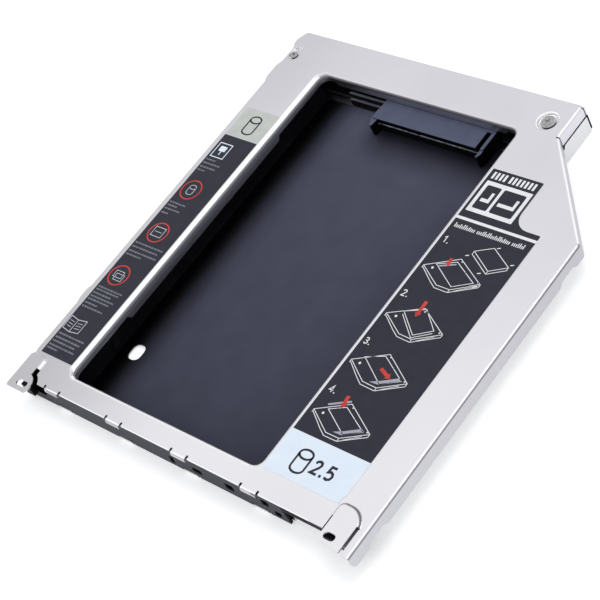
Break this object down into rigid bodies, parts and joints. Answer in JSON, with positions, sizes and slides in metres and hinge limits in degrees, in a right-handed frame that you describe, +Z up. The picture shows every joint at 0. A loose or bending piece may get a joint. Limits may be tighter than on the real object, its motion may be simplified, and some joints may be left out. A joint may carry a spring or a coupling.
{
  "type": "laptop drive caddy",
  "caption": "Flat tray that holds a 2.5 inch drive in a laptop's slim optical bay, open above, with a socket for the drive, a plug for the bay and two front ears.",
  "frame": {"origin": "centre of the bounding box in plan, on the underside of the tray", "axes": "+X to the thin wing on the right, +Y from the eared front edge to the rear edge that meets the laptop's connector, +Z up out of the open top"},
  "size_m": [0.129, 0.1404, 0.0101],
  "materials": {
    "satin_metal": "satin",
    "black_film": "semi-gloss",
    "grey_moulding": "satin",
    "black_moulding": "satin",
    "slate_moulding": "satin",
    "board_green": "semi-gloss",
    "contact_metal": "polished",
    "bright_steel": "satin",
    "capacitor_ochre": "satin",
    "label_dark": "printed film"
  },
  "bodies": {
    "root": {"top_cover": "satin_metal", "bottom_cover": "satin_metal", "floor_film": "black_film", "front_bar": "grey_moulding", "left_rail": "black_moulding", "right_frame": "black_moulding", "board_holder": "black_moulding", "rear_left_post": "bright_steel", "rear_right_post": "bright_steel", "rear_left_screw": "bright_steel", "rear_right_screw": "bright_steel", "board_screw_1": "bright_steel", "board_screw_2": "bright_steel", "adapter_board": "board_green", "drive_socket": "slate_moulding", "socket_data_contact_1": "contact_metal", "socket_data_contact_2": "contact_metal", "socket_data_contact_3": "contact_metal", "socket_data_contact_4": "contact_metal", "socket_data_contact_5": "contact_metal", "socket_data_contact_6": "contact_metal", "socket_data_contact_7": "contact_metal", "socket_power_contact_1": "contact_metal", "socket_power_contact_2": "contact_metal", "socket_power_contact_3": "contact_metal", "socket_power_contact_4": "contact_metal", "socket_power_contact_5": "contact_metal", "socket_power_contact_6": "contact_metal", "socket_power_contact_7": "contact_metal", "socket_power_contact_8": "contact_metal", "socket_power_contact_9": "contact_metal", "socket_power_contact_10": "contact_metal", "socket_power_contact_11": "contact_metal", "socket_power_contact_12": "contact_metal", "socket_power_contact_13": "contact_metal", "socket_power_contact_14": "contact_metal", "socket_power_contact_15": "contact_metal", "bay_plug": "black_moulding", "plug_data_contact_1": "contact_metal", "plug_data_contact_2": "contact_metal", "plug_data_contact_3": "contact_metal", "plug_data_contact_4": "contact_metal", "plug_data_contact_5": "contact_metal", "plug_data_contact_6": "contact_metal", "plug_data_contact_7": "contact_metal", "plug_power_contact_1": "contact_metal", "plug_power_contact_2": "contact_metal", "plug_power_contact_3": "contact_metal", "plug_power_contact_4": "contact_metal", "plug_power_contact_5": "contact_metal", "plug_power_contact_6": "contact_metal", "supply_capacitor_1": "capacitor_ochre", "supply_capacitor_2": "capacitor_ochre", "left_label": "label_dark", "right_label": "label_dark"}
  },
  "joints": []
}
